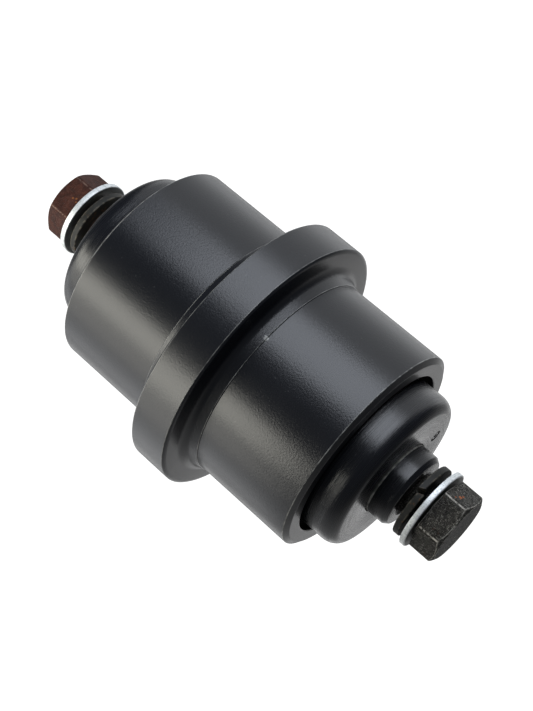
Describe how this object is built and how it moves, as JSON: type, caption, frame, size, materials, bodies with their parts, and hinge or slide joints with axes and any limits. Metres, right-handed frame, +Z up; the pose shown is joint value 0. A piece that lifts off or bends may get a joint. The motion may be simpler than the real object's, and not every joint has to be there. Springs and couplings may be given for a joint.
{
  "type": "track roller",
  "caption": "Sealed lower track roller with a centre guide flange, turning on a fixed axle with end caps and a hex bolt with washers in each axle end.",
  "frame": {"origin": "middle of the roller on its axis, which is the centre of the box round the whole part", "axes": "+Y along the axle towards the right end, the one with the oil fill plug; +Z up, away from the cap lock pins"},
  "size_m": [0.1014, 0.185, 0.1014],
  "materials": {
    "black_paint": "satin black paint with a slight orange peel, over forged and machined steel",
    "axle_steel": "black painted ends, ground bare steel inside the roller",
    "seal_steel": "lapped or turned bare steel, lightly oiled",
    "bronze": "turned bronze",
    "rubber": "smooth black nitrile rubber",
    "spring_steel": "dull black oxide spring steel",
    "zinc": "bright bluish zinc plate",
    "bolt_oxide": "scuffed black oxide, bare metal at the edges and a speck of rust",
    "bolt_brown": "brown oxidised steel"
  },
  "bodies": {
    "axle_assembly": {"axle": "axle_steel", "fill_plug": "black_paint", "end_cap_left": "black_paint", "end_cap_right": "black_paint", "lock_pin_left": "seal_steel", "lock_pin_right": "seal_steel", "fixed_seal_ring_left": "seal_steel", "fixed_seal_ring_right": "seal_steel", "fixed_toric_left": "rubber", "fixed_toric_right": "rubber", "axle_o_ring_left": "rubber", "axle_o_ring_right": "rubber"},
    "roller": {"roller_shell": "black_paint", "bushing_left": "bronze", "bushing_right": "bronze", "turning_seal_ring_left": "seal_steel", "turning_seal_ring_right": "seal_steel", "turning_toric_left": "rubber", "turning_toric_right": "rubber"},
    "right_washers": {"spring_washer_right": "spring_steel", "flat_washer_right": "zinc"},
    "right_bolt": {"hex_bolt_right": "bolt_oxide"},
    "left_washers": {"spring_washer_left": "spring_steel", "flat_washer_left": "zinc"},
    "left_bolt": {"hex_bolt_left": "bolt_brown"}
  },
  "joints": [
    {"name": "roller_spin", "type": "hinge", "parent": "axle_assembly", "child": "roller", "pos_m": [0, 0, 0], "axis": [0, 1, 0], "continuous": true},
    {"name": "right_bolt_travel", "type": "slide", "parent": "axle_assembly", "child": "right_washers", "axis": [0, 1, 0], "range_m": [-0.001, 0.027]},
    {"name": "right_bolt_turn", "type": "hinge", "parent": "right_washers", "child": "right_bolt", "pos_m": [0, 0.09, 0], "axis": [0, 1, 0], "range_deg": [-180, 4850]},
    {"name": "left_bolt_travel", "type": "slide", "parent": "axle_assembly", "child": "left_washers", "axis": [0, -1, 0], "range_m": [-0.001, 0.027]},
    {"name": "left_bolt_turn", "type": "hinge", "parent": "left_washers", "child": "left_bolt", "pos_m": [0, -0.09, 0], "axis": [0, -1, 0], "range_deg": [-180, 4850]}
  ],
  "couplings": [
    {"joint": "right_bolt_travel", "follows": "right_bolt_turn", "m_per_rad": 0.00031831},
    {"joint": "left_bolt_travel", "follows": "left_bolt_turn", "m_per_rad": 0.00031831}
  ]
}
